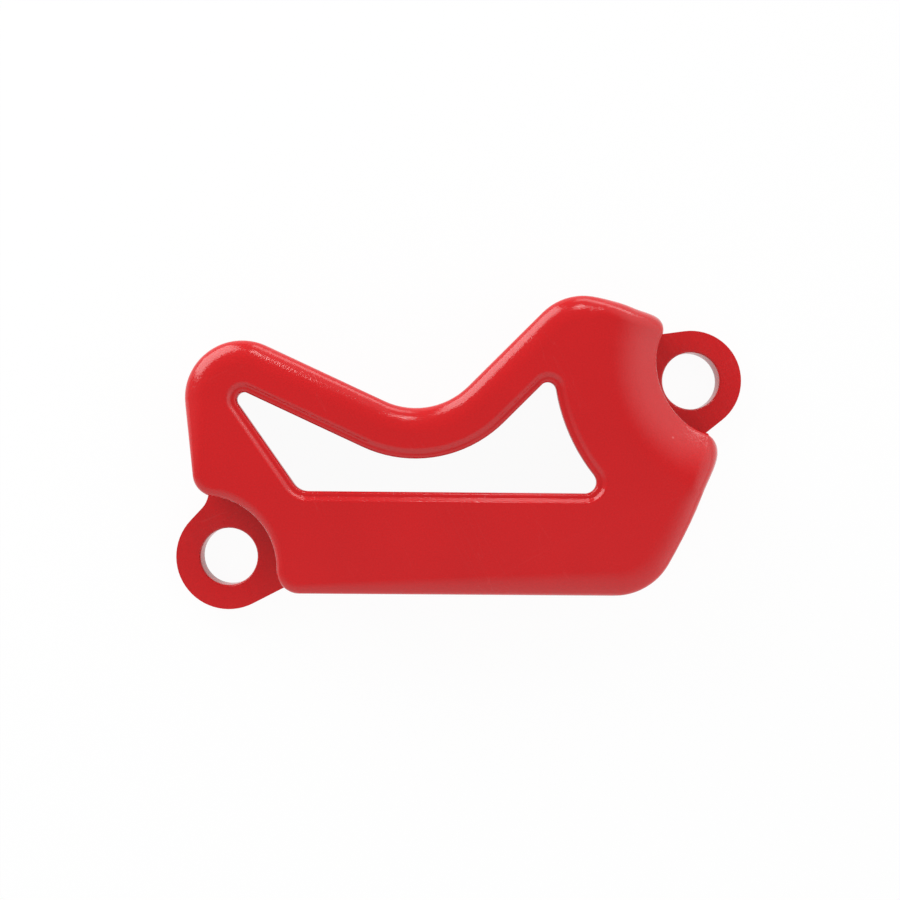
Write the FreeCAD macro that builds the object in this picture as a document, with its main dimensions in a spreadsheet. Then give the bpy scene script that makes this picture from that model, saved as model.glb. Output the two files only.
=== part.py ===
"""Brake caliper guard: one moulded shell with a window and two bolt ears.

Millimetres and degrees. +Z leaves the front face, the open back lies on the
plane Z = 0, and the origin is the axis of the lower bolt hole on that plane.
"""
import FreeCAD, Part
import math
import os

import Sketcher

Vector = FreeCAD.Vector

NODE = "caliper_guard"

SIZES = {
    # Bolts and ears
    "bolt_span_x": 83.85,
    "bolt_span_y": 32.7,
    "bolt_hole": 10.4,
    "hole_edge": 0.3,
    "ear_thickness": 4.0,
    "ear_root": 1.5,
    "lower_ear_radius": 9.6,
    "lower_ear_side_angle": 227.4,
    "lower_ear_base_angle": 27.5,
    "lower_ear_flare": 4.5,
    "upper_ear_radius": 9.12,
    "upper_ear_top_angle": 188.0,
    "upper_ear_side_angle": 39.0,
    "collar_width": 0.55,
    "collar_height": 7.0,
    "collar_edge": 0.25,
    # Shell
    "guard_depth": 18.0,
    "wall": 2.4,
    "edge_round": 3.3,
    # Outline corners before they are rounded, and the bow of its two curved sides
    "base_drop": 5.25,
    "heel_x": -1.6,
    "toe_x": 74.75,
    "toe_round": 10.8,
    "cheek_bow": 112.0,
    "brow_out": 5.9,
    "brow_down": 1.7,
    "descent_bow": 37.4,
    "crest_x": 59.1,
    "crest_y": 46.9,
    "crest_round": 10.0,
    "dip_x": 36.8,
    "dip_y": 24.4,
    "dip_round": 12.8,
    "shoulder_x": -8.0,
    "shoulder_y": 44.9,
    "shoulder_round": 9.9,
    # Notches that clear the bolt heads
    "lower_notch_back": 2.0,
    "lower_notch_down": 0.95,
    "lower_notch_radius": 12.4,
    "lower_notch_ease": 0.7,
    "upper_notch_out": 6.0,
    "upper_notch_up": 3.0,
    "upper_notch_radius": 13.6,
    "upper_notch_roll": 10.3,
    # Window
    "arch_width": 8.77,
    "bar_height": 17.7,
    "post_width": 18.45,
    "stile_distance": 18.8,
    "stile_angle": 125.5,
    "window_tip_round": 1.25,
    "window_heel_round": 3.0,
    "window_toe_round": 1.9,
    "window_peak_round": 1.45,
    # Stepped rim round the window
    "rim_ledge": 0.95,
    "rim_depth": 0.6,
    "rim_slope": 45.0,
    "rim_foot": 0.6,
    "rim_brow": 0.8,
    "lip_edge": 0.3,
}

BASE_Y = "-sizes.base_drop"
UPPER_BOLT = ("sizes.bolt_span_x", "sizes.bolt_span_y")
LOWER_NOTCH = ("-sizes.lower_notch_back", "-sizes.lower_notch_down")
UPPER_NOTCH = (
    "sizes.bolt_span_x + sizes.upper_notch_out",
    "sizes.bolt_span_y + sizes.upper_notch_up",
)
HEEL = ("sizes.heel_x", BASE_Y)
TOE = ("sizes.toe_x", BASE_Y)
BROW = ("sizes.bolt_span_x + sizes.brow_out", "sizes.bolt_span_y - sizes.brow_down")
CREST = ("sizes.crest_x", "sizes.crest_y")
DIP = ("sizes.dip_x", "sizes.dip_y")
SHOULDER = ("sizes.shoulder_x", "sizes.shoulder_y")

UPPER_ROOT = "sizes.upper_notch_radius + sizes.wall + sizes.ear_root"
COLLAR = "sizes.upper_notch_radius - sizes.collar_width"
COLLAR_ROOT = "sizes.upper_notch_radius + sizes.wall / 2"
RIM_REACH = "sizes.rim_ledge + sizes.rim_depth / tan(sizes.rim_slope * 1 deg)"

CLOSE = 1e-4


def make_sheet(doc):
    """One row for each size: its name, and its value under that name."""
    sheet = doc.addObject("Spreadsheet::Sheet", "sizes")
    for row, (name, value) in enumerate(SIZES.items(), start=1):
        sheet.set(f"A{row}", name)
        sheet.set(f"B{row}", str(value))
        sheet.setAlias(f"B{row}", name)
    doc.recompute()
    return sheet


def direction(degrees):
    return Vector(math.cos(math.radians(degrees)), math.sin(math.radians(degrees)), 0)


def unit(vector):
    return vector * (1 / vector.Length)


def left_of(along):
    return Vector(-along.y, along.x, 0)


def meet(point, along, other, across):
    """Where the line through point meets the line through other."""
    gap = other - point
    reach = gap.cross(across).z / along.cross(across).z
    return point + along * reach


def at_distance(point, along, hub, distance, sense):
    """Where the line through point is at a distance from a hub: past its nearest place, or before it."""
    gap = point - hub
    nearest = gap.dot(along)
    return point + along * (sense * math.sqrt(nearest ** 2 - gap.dot(gap) + distance ** 2) - nearest)


class Outline:
    """A closed outline in a sketch, drawn in order, with its sizes bound to the sheet."""

    def __init__(self, body, name, lift=None):
        self.sketch = body.newObject("Sketcher::SketchObject", name)
        ground = [plane for plane in body.Origin.OriginFeatures if plane.Role == "XY_Plane"]
        self.sketch.AttachmentSupport = [(ground[0], "")]
        self.sketch.MapMode = "FlatFace"
        if lift:
            self.sketch.setExpression("AttachmentOffset.Base.z", lift)
        self.pieces = []

    def value(self, expression):
        return float(self.sketch.evalExpression(expression))

    def place(self, pair):
        return Vector(self.value(pair[0]), self.value(pair[1]), 0)

    def limit(self, *rule):
        return self.sketch.addConstraint(Sketcher.Constraint(*rule))

    def size(self, expression, kind, *where):
        """A dimension that follows an expression of the sheet."""
        start = self.value(expression)
        index = self.limit(kind, *where, start)
        self.follow(index, expression)

    def lean(self, expression, line):
        """The angle of a line from the X axis, in degrees."""
        index = self.limit("Angle", line, math.radians(self.value(expression)))
        self.follow(index, f"({expression}) * 1 deg")

    def follow(self, index, expression):
        name = f"size_{index}"
        self.sketch.renameConstraint(index, name)
        self.sketch.setExpression(f"Constraints.{name}", expression)

    def pin(self, pair, shape, point):
        """Hold a point of a shape at a place given by two expressions."""
        self.size(pair[0], "DistanceX", -1, 1, shape, point)
        self.size(pair[1], "DistanceY", -1, 1, shape, point)

    def line(self, start, end):
        index = self.sketch.addGeometry(Part.LineSegment(start, end))
        self.pieces.append((index, 1, 2))
        return index

    def arc(self, centre, start, end, left, radius=None):
        """An arc from start to end that turns left or right about its centre."""
        first, last = (start, end) if left else (end, start)
        angles = [math.atan2(point.y - centre.y, point.x - centre.x) for point in (first, last)]
        if angles[1] < angles[0]:
            angles[1] += 2 * math.pi
        circle = Part.Circle(centre, Vector(0, 0, 1), (start - centre).Length)
        index = self.sketch.addGeometry(Part.ArcOfCircle(circle, *angles))
        self.pieces.append((index, 1, 2) if left else (index, 2, 1))
        if radius:
            self.size(radius, "Radius", index)
        return index

    def mark(self, pair, first, second):
        """Hold the corner that two sides would meet in, if it weren't rounded, at a place."""
        index = self.sketch.addGeometry(Part.Point(self.place(pair)), True)
        self.limit("PointOnObject", index, 1, first)
        self.limit("PointOnObject", index, 1, second)
        self.pin(pair, index, 1)

    def guide(self, start, end):
        """A construction line between two places given by expressions."""
        index = self.sketch.addGeometry(Part.LineSegment(self.place(start), self.place(end)), True)
        self.pin(start, index, 1)
        self.pin(end, index, 2)
        return index

    def circle(self, centre, diameter, guide=False):
        shape = Part.Circle(self.place(centre), Vector(0, 0, 1), self.value(diameter) / 2)
        index = self.sketch.addGeometry(shape, guide)
        self.pin(centre, index, 3)
        self.size(diameter, "Diameter", index)
        return index

    def close(self, sharp=()):
        """Join each piece to the next, tangent unless the joint is listed as sharp."""
        following = self.pieces[1:] + self.pieces[:1]
        for (first, _, end), (second, start, _) in zip(self.pieces, following):
            kind = "Coincident" if (first, second) in sharp else "Tangent"
            self.limit(kind, first, end, second, start)
        if self.sketch.solve() != 0:
            raise RuntimeError(f"{self.sketch.Name} has no solution")
        return self.sketch


def round_between(corner, along, onward, radius):
    """The start, end, centre and sense of an arc that rounds a corner of two lines."""
    turn = math.atan2(along.cross(onward).z, along.dot(onward))
    reach = radius * math.tan(abs(turn) / 2)
    start = corner - along * reach
    end = corner + onward * reach
    side = left_of(along) if turn > 0 else left_of(along) * -1
    return start, end, start + side * radius, turn > 0


def bow_centre(start, end, radius):
    """The centre of an arc from start to end that swells to the right of the way between them."""
    half = (end - start) * 0.5
    return start + half + left_of(unit(half)) * math.sqrt(radius ** 2 - half.dot(half))


def draw_shell_outline(body):
    """The front outline: four straight sides, a bowed cheek and a bowed descent from the crest."""
    outline = Outline(body, "shell_outline")
    heel, toe, brow = (outline.place(pair) for pair in (HEEL, TOE, BROW))
    crest, dip, shoulder = (outline.place(pair) for pair in (CREST, DIP, SHOULDER))
    toe_round = outline.value("sizes.toe_round")
    crest_round = outline.value("sizes.crest_round")
    cheek = outline.value("sizes.cheek_bow")
    descent = outline.value("sizes.descent_bow")
    base = unit(toe - heel)
    rise = unit(dip - crest)
    slope = unit(shoulder - dip)
    side = unit(heel - shoulder)

    cheek_centre = bow_centre(toe, brow, cheek)
    toe_centre = at_distance(toe + left_of(base) * toe_round, base, cheek_centre, cheek - toe_round, 1)
    toe_end = cheek_centre + unit(toe_centre - cheek_centre) * cheek
    descent_centre = bow_centre(brow, crest, descent)
    crest_centre = at_distance(
        crest + left_of(rise) * crest_round, rise, descent_centre, descent - crest_round, -1)
    crest_start = descent_centre + unit(crest_centre - descent_centre) * descent
    low = round_between(dip, rise, slope, outline.value("sizes.dip_round"))
    high = round_between(shoulder, slope, side, outline.value("sizes.shoulder_round"))

    toe_start = toe_centre - left_of(base) * toe_round
    crest_end = crest_centre - left_of(rise) * crest_round
    base_line = outline.line(heel, toe_start)
    outline.arc(toe_centre, toe_start, toe_end, True, "sizes.toe_round")
    cheek_arc = outline.arc(cheek_centre, toe_end, brow, True, "sizes.cheek_bow")
    descent_arc = outline.arc(descent_centre, brow, crest_start, True, "sizes.descent_bow")
    outline.arc(crest_centre, crest_start, crest_end, True, "sizes.crest_round")
    rise_line = outline.line(crest_end, low[0])
    outline.arc(low[2], low[0], low[1], low[3], "sizes.dip_round")
    slope_line = outline.line(low[1], high[0])
    outline.arc(high[2], high[0], high[1], high[3], "sizes.shoulder_round")
    side_line = outline.line(high[1], heel)

    outline.pin(HEEL, base_line, 1)
    outline.mark(TOE, base_line, cheek_arc)
    outline.pin(BROW, descent_arc, 1)
    outline.mark(CREST, descent_arc, rise_line)
    outline.mark(DIP, rise_line, slope_line)
    outline.mark(SHOULDER, slope_line, side_line)
    return outline.close(((cheek_arc, descent_arc), (side_line, base_line)))


def draw_window(body):
    """The opening: it keeps its distance from the arch, bar, post and lower bolt."""
    outline = Outline(body, "window_outline", "sizes.guard_depth")
    shoulder, dip, crest = (outline.place(pair) for pair in (SHOULDER, DIP, CREST))
    arch = outline.value("sizes.arch_width")
    slope = unit(shoulder - dip)
    rise = unit(dip - crest)
    stile = direction(outline.value("sizes.stile_angle")) * -1
    sill = Vector(1, 0, 0)

    on_slope = dip + left_of(slope) * arch
    on_rise = dip + left_of(rise) * arch
    on_stile = left_of(stile) * outline.value("sizes.stile_distance")
    on_sill = Vector(0, outline.value(f"{BASE_Y} + sizes.bar_height"), 0)

    post_radius = "sizes.upper_notch_radius + sizes.post_width"
    post_centre = outline.place(UPPER_NOTCH)
    post = outline.value(post_radius)

    def round_to_post(point, along, radius, sense):
        """An arc that rounds the corner of a straight edge and the round post."""
        centre = at_distance(point + left_of(along) * radius, along, post_centre, post + radius, sense)
        on_edge = centre - left_of(along) * radius
        on_post = post_centre + unit(centre - post_centre) * post
        return centre, on_edge, on_post

    tip = round_between(meet(on_slope, slope, on_stile, stile), slope, stile,
                        outline.value("sizes.window_tip_round"))
    heel = round_between(meet(on_stile, stile, on_sill, sill), stile, sill,
                         outline.value("sizes.window_heel_round"))
    dip_radius = "sizes.dip_round + sizes.arch_width"
    low = round_between(meet(on_rise, rise, on_slope, slope), rise, slope, outline.value(dip_radius))
    toe = round_to_post(on_sill, sill, outline.value("sizes.window_toe_round"), -1)
    peak = round_to_post(on_rise, rise, outline.value("sizes.window_peak_round"), 1)

    outline.arc(tip[2], tip[0], tip[1], tip[3], "sizes.window_tip_round")
    stile_line = outline.line(tip[1], heel[0])
    outline.arc(heel[2], heel[0], heel[1], heel[3], "sizes.window_heel_round")
    sill_line = outline.line(heel[1], toe[1])
    outline.arc(toe[0], toe[1], toe[2], True, "sizes.window_toe_round")
    post_arc = outline.arc(post_centre, toe[2], peak[2], False, post_radius)
    outline.arc(peak[0], peak[2], peak[1], True, "sizes.window_peak_round")
    rise_line = outline.line(peak[1], low[0])
    outline.arc(low[2], low[0], low[1], low[3], dip_radius)
    slope_line = outline.line(low[1], tip[0])

    for edge, start, end in ((slope_line, DIP, SHOULDER), (rise_line, CREST, DIP)):
        guide = outline.guide(start, end)
        outline.limit("Parallel", guide, edge)
        outline.size("sizes.arch_width", "Distance", edge, 1, guide)
    outline.pin(UPPER_NOTCH, post_arc, 3)
    outline.limit("Horizontal", sill_line)
    outline.size(f"{BASE_Y} + sizes.bar_height", "DistanceY", -1, 1, sill_line, 1)
    outline.size("sizes.stile_distance", "Distance", -1, 1, stile_line)
    outline.lean("sizes.stile_angle - 180", stile_line)
    return outline.close()


def draw_lower_ear(body):
    """A round ear whose two straight sides flare into the left edge and the base of the shell."""
    outline = Outline(body, "lower_ear_outline")
    ear = outline.value("sizes.lower_ear_radius")
    flare = outline.value("sizes.lower_ear_flare")
    shoulder, heel = outline.place(SHOULDER), outline.place(HEEL)
    notch = outline.place(LOWER_NOTCH)
    root_radius = "sizes.lower_notch_radius + sizes.wall + sizes.ear_root"
    root = outline.value(root_radius)
    down = unit(heel - shoulder)
    base = Vector(1, 0, 0)
    outward = direction(outline.value("sizes.lower_ear_side_angle"))
    inward = direction(outline.value("sizes.lower_ear_base_angle"))
    outward_touch = left_of(outward) * -ear
    inward_touch = left_of(inward) * -ear

    side_root = at_distance(heel, down, notch, root, -1)
    base_root = at_distance(heel, base, notch, root, 1)
    upper = round_between(meet(heel, down, outward_touch, outward), down, outward, flare)
    lower = round_between(meet(inward_touch, inward, heel, base), inward, base, flare)

    side_line = outline.line(side_root, upper[0])
    outline.arc(upper[2], upper[0], upper[1], upper[3], "sizes.lower_ear_flare")
    outward_line = outline.line(upper[1], outward_touch)
    ear_arc = outline.arc(Vector(0, 0, 0), outward_touch, inward_touch, True, "sizes.lower_ear_radius")
    inward_line = outline.line(inward_touch, lower[0])
    outline.arc(lower[2], lower[0], lower[1], lower[3], "sizes.lower_ear_flare")
    base_line = outline.line(lower[1], base_root)
    root_arc = outline.arc(notch, base_root, side_root, True, root_radius)

    outline.limit("Coincident", ear_arc, 3, -1, 1)
    outline.pin(LOWER_NOTCH, root_arc, 3)
    outline.lean("sizes.lower_ear_side_angle - 360", outward_line)
    outline.lean("sizes.lower_ear_base_angle", inward_line)
    outline.limit("Horizontal", base_line)
    outline.size(BASE_Y, "DistanceY", -1, 1, base_line, 2)
    guide = outline.guide(SHOULDER, HEEL)
    outline.limit("Parallel", guide, side_line)
    outline.limit("PointOnObject", side_line, 1, guide)
    return outline.close(((base_line, root_arc), (root_arc, side_line)))


def upper_ear_sides(outline):
    """Where each straight side of the upper ear touches its round end, and the way the side runs."""
    bolt = outline.place(UPPER_BOLT)
    ear = outline.value("sizes.upper_ear_radius")
    top = direction(outline.value("sizes.upper_ear_top_angle"))
    side = direction(outline.value("sizes.upper_ear_side_angle"))
    return bolt - left_of(top) * ear, top, bolt - left_of(side) * ear, side


def draw_upper_ear(body):
    """A round ear whose two straight sides run on into the shell."""
    outline = Outline(body, "upper_ear_outline")
    notch = outline.place(UPPER_NOTCH)
    root = outline.value(UPPER_ROOT)
    top_touch, top, side_touch, side = upper_ear_sides(outline)
    top_root = at_distance(top_touch, top, notch, root, 1)
    side_root = at_distance(side_touch, side, notch, root, -1)

    side_line = outline.line(side_root, side_touch)
    ear_arc = outline.arc(outline.place(UPPER_BOLT), side_touch, top_touch, True, "sizes.upper_ear_radius")
    top_line = outline.line(top_touch, top_root)
    root_arc = outline.arc(notch, top_root, side_root, True, UPPER_ROOT)

    outline.pin(UPPER_BOLT, ear_arc, 3)
    outline.pin(UPPER_NOTCH, root_arc, 3)
    outline.lean("sizes.upper_ear_side_angle", side_line)
    outline.lean("sizes.upper_ear_top_angle - 360", top_line)
    return outline.close(((top_line, root_arc), (root_arc, side_line)))


def draw_collar(body):
    """A narrow step along the notch, between the sides of the upper ear, rooted in the wall."""
    outline = Outline(body, "collar_outline")
    notch = outline.place(UPPER_NOTCH)
    collar = outline.value(COLLAR)
    root = outline.value(COLLAR_ROOT)
    top_touch, top, side_touch, side = upper_ear_sides(outline)
    top_end, top_root = (at_distance(top_touch, top, notch, reach, 1) for reach in (collar, root))
    side_end, side_root = (at_distance(side_touch, side, notch, reach, -1) for reach in (collar, root))

    side_line = outline.line(side_root, side_end)
    collar_arc = outline.arc(notch, side_end, top_end, False, COLLAR)
    top_line = outline.line(top_end, top_root)
    root_arc = outline.arc(notch, top_root, side_root, True, COLLAR_ROOT)

    ear = outline.circle(UPPER_BOLT, "2 * sizes.upper_ear_radius", guide=True)
    outline.limit("Tangent", side_line, ear)
    outline.limit("Tangent", top_line, ear)
    outline.pin(UPPER_NOTCH, collar_arc, 3)
    outline.pin(UPPER_NOTCH, root_arc, 3)
    outline.lean("sizes.upper_ear_side_angle", side_line)
    outline.lean("sizes.upper_ear_top_angle - 360", top_line)
    joints = (side_line, collar_arc, top_line, root_arc, side_line)
    return outline.close(tuple(zip(joints, joints[1:])))


def edges_of(feature, wanted):
    """The names of the edges of a feature that a test picks."""
    return [f"Edge{number}" for number, edge in enumerate(feature.Shape.Edges, start=1) if wanted(edge)]


def faces_of(feature, wanted):
    """The names of the faces of a feature that a test picks."""
    return [f"Face{number}" for number, face in enumerate(feature.Shape.Faces, start=1) if wanted(face)]


def near(first, second):
    return abs(first - second) < CLOSE


def upright(edge):
    box = edge.BoundBox
    return box.XLength < CLOSE and box.YLength < CLOSE


def level(edge, height):
    return near(edge.BoundBox.ZMin, height) and near(edge.BoundBox.ZMax, height)


def middle_of(edge):
    return edge.valueAt((edge.FirstParameter + edge.LastParameter) / 2)


def distance_from(axis, edge):
    middle = middle_of(edge)
    return math.hypot(middle.x - axis.x, middle.y - axis.y)


def follows(outline, edge):
    """Whether an edge runs straight below or above an outline."""
    middle = middle_of(edge)
    middle.z = outline.BoundBox.ZMax
    return outline.distToShape(Part.Vertex(middle))[0] < CLOSE


def add(body, kind, name, **sizes):
    """A feature of the body whose sizes follow the sheet."""
    feature = body.newObject(f"PartDesign::{kind}", name)
    for size, expression in sizes.items():
        feature.setExpression(size, expression)
    return feature


def settle(body, feature):
    """Recompute, and stop if the feature failed or left the solid as it was."""
    before = feature.BaseFeature.Shape.Volume if feature.BaseFeature else 0.0
    body.Document.recompute()
    if "Invalid" in feature.State or "Error" in feature.State or not feature.Shape.isValid():
        raise RuntimeError(f"{feature.Name} failed")
    if near(feature.Shape.Volume, before):
        raise RuntimeError(f"{feature.Name} changed nothing")
    return feature


def pad(body, sketch, name, length):
    feature = add(body, "Pad", name, Length=length)
    feature.Profile = (sketch, [""])
    return settle(body, feature)


def cut_through(body, sketch, name, upwards):
    feature = add(body, "Pocket", name)
    feature.Profile = (sketch, [""])
    feature.Type = "ThroughAll"
    feature.Reversed = upwards
    return settle(body, feature)


def round_edges(body, base, wanted, name, radius):
    feature = add(body, "Fillet", name, Radius=radius)
    feature.Base = (base, edges_of(base, wanted))
    return settle(body, feature)


def bevel_edges(body, base, wanted, name, size):
    feature = add(body, "Chamfer", name, Size=size)
    feature.Base = (base, edges_of(base, wanted))
    return settle(body, feature)


def build_guard(doc, sheet):
    body = doc.addObject("PartDesign::Body", NODE)
    body.Label = NODE
    depth = sheet.guard_depth

    # Solid block with two notches
    pad(body, draw_shell_outline(body), "block", "sizes.guard_depth")
    notches = Outline(body, "notch_outlines")
    notches.circle(LOWER_NOTCH, "2 * sizes.lower_notch_radius")
    notches.circle(UPPER_NOTCH, "2 * sizes.upper_notch_radius")
    lower_axis = notches.place(LOWER_NOTCH)
    upper_axis = notches.place(UPPER_NOTCH)
    notched = cut_through(body, notches.sketch, "notched", True)

    # Rounded corners and the broad roll into the upper notch
    cornered = round_edges(
        body, notched,
        lambda edge: upright(edge) and near(distance_from(lower_axis, edge), sheet.lower_notch_radius),
        "lower_notch_corners", "sizes.edge_round + sizes.lower_notch_ease")
    rolled = round_edges(
        body, cornered,
        lambda edge: level(edge, depth) and near(distance_from(upper_axis, edge), sheet.upper_notch_radius),
        "upper_notch_rolled", "sizes.upper_notch_roll")

    # Even wall, open at the back
    hollow = add(body, "Thickness", "hollow", Value="sizes.wall")
    hollow.Base = (rolled, faces_of(rolled, lambda face: level(face, 0)))
    hollow.Reversed = True
    hollow.Join = "Arc"
    settle(body, hollow)

    # Rolled front edge, which runs down both corners of the upper notch
    roll_edge = sheet.upper_notch_radius + sheet.upper_notch_roll

    def on_front_edge(edge):
        if level(edge, depth):
            return not near(distance_from(upper_axis, edge), roll_edge)
        if upright(edge):
            return near(distance_from(upper_axis, edge), sheet.upper_notch_radius)
        return near(edge.BoundBox.ZMax, depth)

    round_edges(body, hollow, on_front_edge, "front_edge_rolled", "sizes.edge_round")

    # Window with a stepped rim
    window = draw_window(body)
    cut_through(body, window, "window", False)
    rim = body.newObject("PartDesign::SubShapeBinder", "rim_outline")
    rim.Support = [(window, "")]
    rim.setExpression("Offset", RIM_REACH)
    doc.recompute()
    stepped = add(body, "Pocket", "rim", Length="sizes.rim_depth", TaperAngle="-sizes.rim_slope * 1 deg")
    stepped.Profile = (rim, [""])
    settle(body, stepped)
    ledge = depth - sheet.rim_depth
    footed = round_edges(
        body, stepped,
        lambda edge: level(edge, ledge) and not follows(window.Shape, edge),
        "rim_footed", "sizes.rim_foot")
    browed = round_edges(
        body, footed,
        lambda edge: level(edge, depth) and follows(rim.Shape, edge),
        "rim_browed", "sizes.rim_brow")
    bevel_edges(
        body, browed,
        lambda edge: level(edge, ledge) and follows(window.Shape, edge),
        "lip", "sizes.lip_edge")

    # Ears, the collar of the upper ear and the bolt holes
    pad(body, draw_lower_ear(body), "lower_ear", "sizes.ear_thickness")
    pad(body, draw_upper_ear(body), "upper_ear", "sizes.ear_thickness")
    collared = pad(body, draw_collar(body), "collar", "sizes.collar_height")
    collar_reach = sheet.upper_notch_radius - sheet.collar_width
    bevel_edges(
        body, collared,
        lambda edge: level(edge, sheet.collar_height) and near(distance_from(upper_axis, edge), collar_reach),
        "collar_edge", "sizes.collar_edge")
    holes = Outline(body, "bolt_holes_outline")
    holes.circle(("0", "0"), "sizes.bolt_hole")
    holes.circle(UPPER_BOLT, "sizes.bolt_hole")
    drilled = cut_through(body, holes.sketch, "bolt_holes", True)
    bevel_edges(
        body, drilled,
        lambda edge: level(edge, sheet.ear_thickness) and near(edge.Length, math.pi * sheet.bolt_hole),
        "hole_edges", "sizes.hole_edge")
    return body


def check_and_write(doc, body):
    """Stop unless every object is sound and the guard is one valid solid, then write it."""
    for item in doc.Objects:
        if "Invalid" in item.State or "Error" in item.State:
            raise RuntimeError(f"{item.Name} failed")
    shape = body.Shape
    if shape.isNull() or not shape.isValid() or len(shape.Solids) != 1:
        raise RuntimeError("the guard is not one valid solid")
    os.makedirs("parts", exist_ok=True)
    shape.exportStep(f"parts/{body.Label}.step")


def main():
    doc = FreeCAD.newDocument("caliper_guard")
    sheet = make_sheet(doc)
    check_and_write(doc, build_guard(doc, sheet))


main()
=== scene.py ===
"""Looks of a brake caliper guard: moulded red plastic, seen from above on a white table.

Metres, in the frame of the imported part: +Z leaves the front face, and the guard
lies on its open back on the table at Z = 0.
"""
import math

import bmesh
import bpy
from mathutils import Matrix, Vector


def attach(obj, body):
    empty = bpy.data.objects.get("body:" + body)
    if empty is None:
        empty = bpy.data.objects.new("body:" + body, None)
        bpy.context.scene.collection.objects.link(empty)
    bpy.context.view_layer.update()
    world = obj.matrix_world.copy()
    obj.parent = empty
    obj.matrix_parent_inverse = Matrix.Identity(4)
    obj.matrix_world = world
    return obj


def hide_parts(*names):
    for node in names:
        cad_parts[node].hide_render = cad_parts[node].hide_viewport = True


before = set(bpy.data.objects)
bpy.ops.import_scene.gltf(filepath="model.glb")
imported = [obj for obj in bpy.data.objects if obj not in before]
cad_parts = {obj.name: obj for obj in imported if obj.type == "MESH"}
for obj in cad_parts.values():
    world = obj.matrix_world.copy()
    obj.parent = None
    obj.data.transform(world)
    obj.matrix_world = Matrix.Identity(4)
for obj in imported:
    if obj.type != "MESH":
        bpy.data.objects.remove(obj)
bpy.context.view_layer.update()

MM = 0.001

# Camera straight above the guard
CAMERA_PLACE = (0.040083, 0.019728, 0.2316)
CAMERA_TURN = math.radians(0.49)
LENS = 50.0

# Soft boxes: compass angle from +Y towards +X and height angle in degrees, metres, watts
AIM = (0.042, 0.02, 0.012)
SOFT_BOXES = {
    "left_box": {"compass": -43.0, "height": 20.0, "away": 0.6, "wide": 0.50, "tall": 0.42, "watts": 3.1},
    "back_box": {"compass": 22.0, "height": 8.0, "away": 0.6, "wide": 0.50, "tall": 0.17, "watts": 0.75},
    "spot_box": {"compass": 3.5, "height": 42.0, "away": 1.2, "wide": 0.12, "tall": 0.22, "watts": 1.0},
}

# Room round the table: wall level, ceiling level, the rise where the walls turn into the ceiling,
# and two broad glows on the walls, each with its compass angle in degrees, its level, and the
# closeness to that angle where it starts and is full
WALL_LEVEL = 0.5
CEILING_LEVEL = 0.36
CEILING_FADE = (0.5, 0.93)
GLOWS = {
    "back_right": {"compass": 65.0, "level": 1.0, "start": 0.3, "full": 0.95},
    "front": {"compass": 172.0, "level": 0.7, "start": -0.1, "full": 0.7},
}

# Table
TABLE_SIZE = 2.0
TABLE_ALBEDO = 0.85
TABLE_WHITE = 0.95

# Moulded shell: distance at which points are joined, angle of a true corner, height of the face
JOIN = 0.001 * MM
CORNER = math.radians(50.0)
FACE_HEIGHT = 18 * MM

# Front edge: a quarter round in the solid, and in the photo a longer and flatter one, tighter
# in the notch over the lower bolt. Its points are found from its foot up, and lean upwards.
SOLID_EDGE = 3.3 * MM
FOUND_BELOW = 0.65 * SOLID_EDGE
LEAST_LEAN = 0.02
SEEN_EDGE_RUN = 4.6 * MM
SEEN_EDGE_DROP = 2.6 * MM
LOWER_EDGE = 1.7 * MM
LOWER_AXIS = Vector((-2.0, -0.95)) * MM
LOWER_FADE = (16 * MM, 19 * MM)
UPPER_FADE = (24 * MM, 28 * MM)

# Roll down to the upper bolt, by distance from the notch's axis: a quarter round in the solid,
# and in the photo an arc that runs into a slope and ends in a crisp lip. The ear stays as it is,
# and so does the notch's wall up to the top of its collar.
NOTCH_AXIS = Vector((89.85, 35.7)) * MM
SOLID_LIP = 13.6 * MM
SOLID_ROUND = 10.3 * MM
SEEN_LIP = 13.95 * MM
SEEN_START = 23.6 * MM
SEEN_ROUND = 13 * MM
SEEN_SLOPE = math.radians(33.0)
LIP_ROUND = 0.6 * MM
LIFTED_FROM = (4.1 * MM, 4.7 * MM)
OVER_COLLAR = 7.3 * MM
WALL_CLEARANCE = 0.05 * MM

# Ends of the roll, which stand out further in the photo than in the solid
ROLL_ENDS = {
    "brow": {"at": Vector((77.3, 42.4)) * MM, "push": Vector((0.9, 0.75)) * MM, "reach": 6 * MM},
    "cheek": {"at": Vector((87.0, 19.8)) * MM, "push": Vector((0.75, 0.1)) * MM, "reach": 7.5 * MM},
}

# Red plastic: colours, gloss, the sizes of its marks and the depth of its relief
RED = (0.53, 0.007, 0.009)
TINT_SPREAD = 0.2
SPECK_COLOUR = (0.8, 0.25, 0.25, 1.0)
GLOSS_ROUGHNESS = 0.12
REFRACTION = 1.45
GRAIN_SIZE = 0.3 * MM
RIPPLE_SIZE = 2.4 * MM
CLOUD_SIZE = 16 * MM
SCUFF_PATCH = 9 * MM
SPECK_SPACING = 11 * MM
RELIEF_DEPTH = 0.04 * MM
RELIEF_STRENGTH = 0.6


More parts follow.
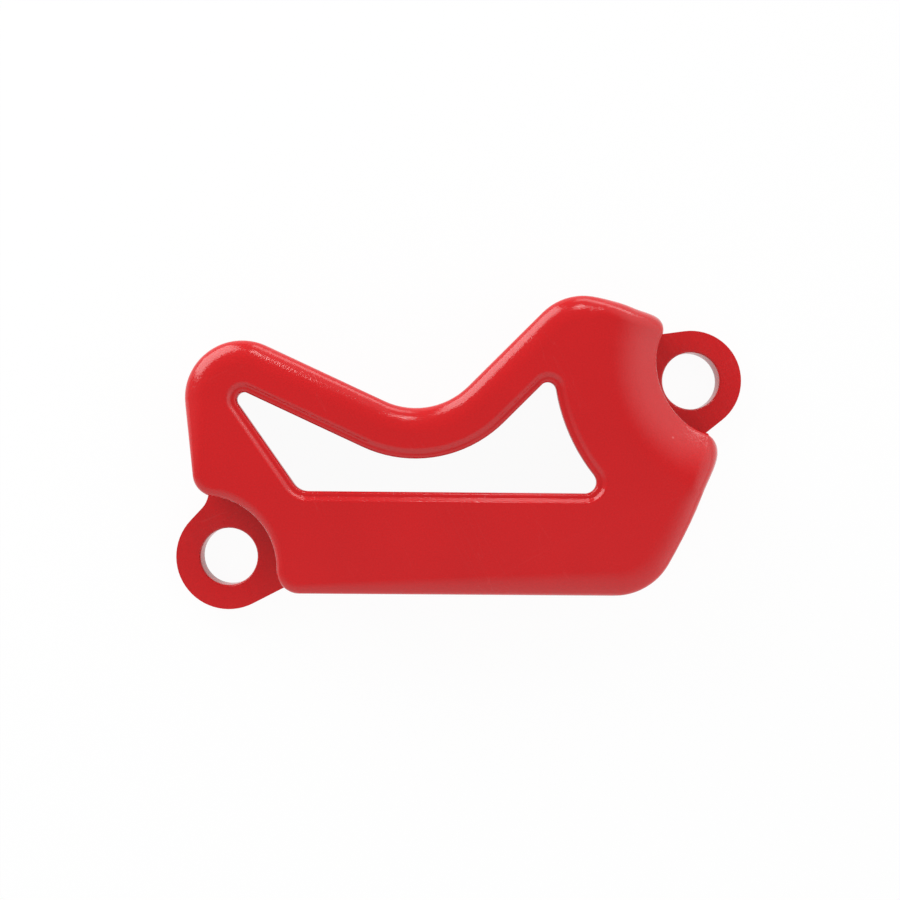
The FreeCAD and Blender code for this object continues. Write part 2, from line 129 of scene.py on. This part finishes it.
class Wire:
    """A socket in a node tree. Arithmetic on wires adds Math nodes to the tree."""

    def __init__(self, tree, socket=None):
        self.tree = tree
        self.socket = socket

    def node(self, kind, settings, sockets, output=0):
        """A new node: its settings first, then a value or a wire for each socket."""
        made = self.tree.nodes.new(kind)
        for name, value in settings.items():
            setattr(made, name, value)
        for name, value in sockets.items():
            if isinstance(value, Wire):
                self.tree.links.new(value.socket, made.inputs[name])
            else:
                made.inputs[name].default_value = value
        return Wire(self.tree, made.outputs[output] if made.outputs else None)

    def math(self, operation, first, second=0.0):
        """A Math node on one or two values."""
        return self.node("ShaderNodeMath", {"operation": operation}, {0: first, 1: second})

    def __add__(self, other):
        return self.math("ADD", self, other)

    def __radd__(self, other):
        return self.math("ADD", other, self)

    def __sub__(self, other):
        return self.math("SUBTRACT", self, other)

    def __rsub__(self, other):
        return self.math("SUBTRACT", other, self)

    def __mul__(self, other):
        return self.math("MULTIPLY", self, other)

    def __rmul__(self, other):
        return self.math("MULTIPLY", other, self)

    def between(self, low, high):
        """How far this value has gone from low to high, from 0 to 1, eased at both ends."""
        return self.node(
            "ShaderNodeMapRange", {"interpolation_type": "SMOOTHSTEP"},
            {"Value": self, "From Min": low, "From Max": high})


def new_nodes(owner):
    """An empty node tree for a material or a world, as a wire to build from."""
    owner.use_nodes = True
    owner.node_tree.nodes.clear()
    return Wire(owner.node_tree)


def red_plastic():
    """Soft-gloss moulded plastic: fine mould grain, faint ripples, hairline scuffs and specks."""
    material = bpy.data.materials.new("red_plastic")
    start = new_nodes(material)
    place = start.node("ShaderNodeTexCoord", {}, {}, "Object")

    def noise(size, detail, at=place):
        return start.node("ShaderNodeTexNoise", {}, {"Vector": at, "Scale": 1 / size, "Detail": detail})

    def hairlines(turn, stretch, spacing):
        """Sparse fine lines in one direction: the crossings of a noise drawn out along it."""
        along = start.node(
            "ShaderNodeMapping", {"vector_type": "TEXTURE"},
            {"Vector": place, "Rotation": (0.0, 0.0, math.radians(turn)), "Scale": (stretch, 1.0, 1.0)})
        level = noise(spacing, 1.0, along) - 0.5
        line = 1 - start.math("ABSOLUTE", level).between(0.0, 0.012)
        patch = noise(SCUFF_PATCH, 1.0, along).between(0.55, 0.68)
        return line * patch

    grain = noise(GRAIN_SIZE, 2.0)
    ripple = noise(RIPPLE_SIZE, 1.0)
    cloud = noise(CLOUD_SIZE, 3.0)
    scuffs = hairlines(24.0, 14.0, 1.1 * MM) + hairlines(-61.0, 11.0, 1.3 * MM)
    cell = start.node(
        "ShaderNodeTexVoronoi", {"feature": "F1"},
        {"Vector": place, "Scale": 1 / SPECK_SPACING}, "Distance")
    speck = 1 - cell.between(0.012, 0.03)

    relief = grain * 0.9 + ripple * 0.4 + speck * 0.8 - scuffs * 0.3
    bump = start.node(
        "ShaderNodeBump", {},
        {"Height": relief, "Strength": RELIEF_STRENGTH, "Distance": RELIEF_DEPTH}, "Normal")
    roughness = GLOSS_ROUGHNESS - 0.04 + cloud * 0.06 + grain * 0.03 + scuffs * 0.06
    tint = start.node(
        "ShaderNodeMix", {"data_type": "RGBA"},
        {0: cloud * 0.35 + grain * 0.65,
         6: tuple(level * (1 - TINT_SPREAD) for level in RED) + (1.0,),
         7: tuple(level * (1 + TINT_SPREAD) for level in RED) + (1.0,)}, 2)
    marked = start.node(
        "ShaderNodeMix", {"data_type": "RGBA"},
        {0: speck * 0.35 + scuffs * 0.03, 6: tint, 7: SPECK_COLOUR}, 2)
    finish = start.node(
        "ShaderNodeBsdfPrincipled", {},
        {"Base Color": marked, "Roughness": roughness, "IOR": REFRACTION, "Normal": bump})
    start.node("ShaderNodeOutputMaterial", {}, {"Surface": finish})
    return material


def white_table():
    """A pale table that reads white to the eye and in reflections, and keeps a soft shadow."""
    material = bpy.data.materials.new("white_table")
    start = new_nodes(material)
    seen = start.node("ShaderNodeLightPath", {}, {}, "Is Camera Ray")
    mirrored = start.node("ShaderNodeLightPath", {}, {}, "Is Glossy Ray")
    through = start.node("ShaderNodeLightPath", {}, {}, "Is Transmission Ray")
    share = (seen + mirrored + through) * TABLE_WHITE
    matt = start.node("ShaderNodeBsdfDiffuse", {}, {"Color": (TABLE_ALBEDO,) * 3 + (1.0,)})
    white = start.node("ShaderNodeEmission", {}, {"Color": (1.0, 1.0, 1.0, 1.0), "Strength": 1.0})
    both = start.node("ShaderNodeMixShader", {}, {0: share, 1: matt, 2: white})
    start.node("ShaderNodeOutputMaterial", {}, {"Surface": both})
    return material


def faded(value, limits):
    """0 below the first limit, 1 above the second, and a smooth step between them."""
    low, high = limits
    part = min(max((value - low) / (high - low), 0.0), 1.0)
    return part * part * (3 - 2 * part)


def soften_edge(form):
    """Draw the front edge out from the solid's quarter round to the photo's."""
    foot = FACE_HEIGHT - SOLID_EDGE
    form.normal_update()
    edge = {vert for vert in form.verts
            if foot - JOIN < vert.co.z < foot + FOUND_BELOW and vert.normal.z > LEAST_LEAN}
    fresh = list(edge)
    while fresh:
        vert = fresh.pop()
        for link in vert.link_edges:
            above = link.other_vert(vert)
            if above not in edge and above.co.z > vert.co.z + JOIN:
                edge.add(above)
                fresh.append(above)
    for vert in edge:
        spot = vert.co.xy
        free = faded((spot - NOTCH_AXIS).length, UPPER_FADE)
        open_side = faded((spot - LOWER_AXIS).length, LOWER_FADE)
        run = LOWER_EDGE + (SEEN_EDGE_RUN - LOWER_EDGE) * open_side
        drop = LOWER_EDGE + (SEEN_EDGE_DROP - LOWER_EDGE) * open_side
        up = min(max((vert.co.z - foot) / SOLID_EDGE, 0.0), 1.0)
        inwards = free * (run - SOLID_EDGE) * (1 - math.sqrt(1 - up * up))
        place = spot - vert.normal.xy.normalized() * inwards
        vert.co = (place.x, place.y, vert.co.z + free * (SOLID_EDGE - drop) * (1 - up))


def sunk(run, radius):
    """How far a round of this radius has dropped after this run from its top."""
    return radius - math.sqrt(max(radius * radius - run * run, 0.0))


def solid_drop(reach):
    """Depth of the solid's roll below the face at this distance from the notch's axis."""
    return sunk(max(SOLID_LIP + SOLID_ROUND - reach, 0.0), SOLID_ROUND)


def seen_drop(reach):
    """Depth of the photo's roll below the face at this distance from the notch's axis."""
    run = max(SEEN_START - reach, 0.0)
    curved = min(run, SEEN_ROUND * math.sin(SEEN_SLOPE))
    lip = max(SEEN_LIP + LIP_ROUND - reach, 0.0)
    return sunk(curved, SEEN_ROUND) + (run - curved) * math.tan(SEEN_SLOPE) + sunk(lip, LIP_ROUND)


def ease_roll(form):
    """Lift the roll down to the upper bolt from the solid's quarter round to the photo's slope,
    and draw out its two ends."""
    squeeze = (SOLID_LIP + SOLID_ROUND - SEEN_LIP) / SOLID_ROUND
    for vert in form.verts:
        across = vert.co.xy - NOTCH_AXIS
        reach = across.length
        clearance = -JOIN if vert.co.z > OVER_COLLAR else WALL_CLEARANCE
        if not SOLID_LIP + clearance <= reach <= SOLID_LIP + SOLID_ROUND:
            continue
        share = faded(vert.co.z, LIFTED_FROM)
        eased = SEEN_LIP + (reach - SOLID_LIP) * squeeze
        place = NOTCH_AXIS + across * (1 + share * (eased - reach) / reach)
        for end in ROLL_ENDS.values():
            place += end["push"] * share * (1 - faded((place - end["at"]).length, (0.0, end["reach"])))
        lift = solid_drop(reach) - seen_drop(eased)
        vert.co = (place.x, place.y, vert.co.z + share * lift)


def moulded_shell(node):
    """The guard's surface as one joined mesh, smooth except at its true corners."""
    form = bmesh.new()
    form.from_mesh(node.data)
    bmesh.ops.remove_doubles(form, verts=form.verts, dist=JOIN)
    soften_edge(form)
    ease_roll(form)
    for face in form.faces:
        face.smooth = True
        face.material_index = 0
    for edge in form.edges:
        edge.smooth = edge.calc_face_angle(0.0) < CORNER
    mesh = bpy.data.meshes.new("guard_shell")
    form.to_mesh(mesh)
    form.free()
    if mesh.has_custom_normals:
        mesh.attributes.remove(mesh.attributes["custom_normal"])
    shell = bpy.data.objects.new("guard_shell", mesh)
    bpy.context.scene.collection.objects.link(shell)
    evened = shell.modifiers.new("evened_shading", "WEIGHTED_NORMAL")
    evened.mode = "FACE_AREA"
    evened.keep_sharp = True
    mesh.materials.append(red_plastic())
    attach(shell, "root")
    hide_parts("caliper_guard")


def table():
    """The flat table under the guard."""
    form = bmesh.new()
    bmesh.ops.create_grid(form, x_segments=1, y_segments=1, size=TABLE_SIZE / 2)
    mesh = bpy.data.meshes.new("table")
    form.to_mesh(mesh)
    form.free()
    mesh.materials.append(white_table())
    top = bpy.data.objects.new("table", mesh)
    bpy.context.scene.collection.objects.link(top)


def soft_box(name, compass, height, away, wide, tall, watts):
    """A soft box that faces the guard from a compass angle and a height angle."""
    data = bpy.data.lights.new(name, "AREA")
    data.shape = "RECTANGLE"
    data.size = wide
    data.size_y = tall
    data.energy = watts
    turn, rise = math.radians(compass), math.radians(height)
    outward = Vector((math.sin(turn) * math.cos(rise), math.cos(turn) * math.cos(rise), math.sin(rise)))
    box = bpy.data.objects.new(name, data)
    box.location = Vector(AIM) + outward * away
    box.rotation_euler = (-outward).to_track_quat("-Z", "Y").to_euler()
    bpy.context.scene.collection.objects.link(box)


def studio():
    """Pale walls with two broad glows under a dim ceiling, and the soft boxes."""
    world = bpy.data.worlds.new("studio")
    start = new_nodes(world)
    heading = start.node("ShaderNodeTexCoord", {}, {}, "Generated")
    right = start.node("ShaderNodeSeparateXYZ", {}, {"Vector": heading}, "X")
    back = start.node("ShaderNodeSeparateXYZ", {}, {"Vector": heading}, "Y")
    up = start.node("ShaderNodeSeparateXYZ", {}, {"Vector": heading}, "Z")
    ceiling = up.between(*CEILING_FADE)
    level = WALL_LEVEL * (1 - ceiling) + CEILING_LEVEL * ceiling
    for glow in GLOWS.values():
        turn = math.radians(glow["compass"])
        towards = right * math.sin(turn) + back * math.cos(turn)
        level = level + glow["level"] * towards.between(glow["start"], glow["full"])
    walls = start.node("ShaderNodeBackground", {}, {"Color": (1.0, 1.0, 1.0, 1.0), "Strength": level})
    start.node("ShaderNodeOutputWorld", {}, {"Surface": walls})
    bpy.context.scene.world = world
    for name, sizes in SOFT_BOXES.items():
        soft_box(name, **sizes)


def camera():
    """The camera that looks straight down, turned as the photo is."""
    data = bpy.data.cameras.new("camera")
    data.lens = LENS
    eye = bpy.data.objects.new("camera", data)
    eye.location = CAMERA_PLACE
    eye.rotation_euler = (0.0, 0.0, CAMERA_TURN)
    bpy.context.scene.collection.objects.link(eye)
    bpy.context.scene.camera = eye


moulded_shell(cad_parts["caliper_guard"])
table()
studio()
camera()
bpy.context.scene.view_settings.view_transform = "Standard"
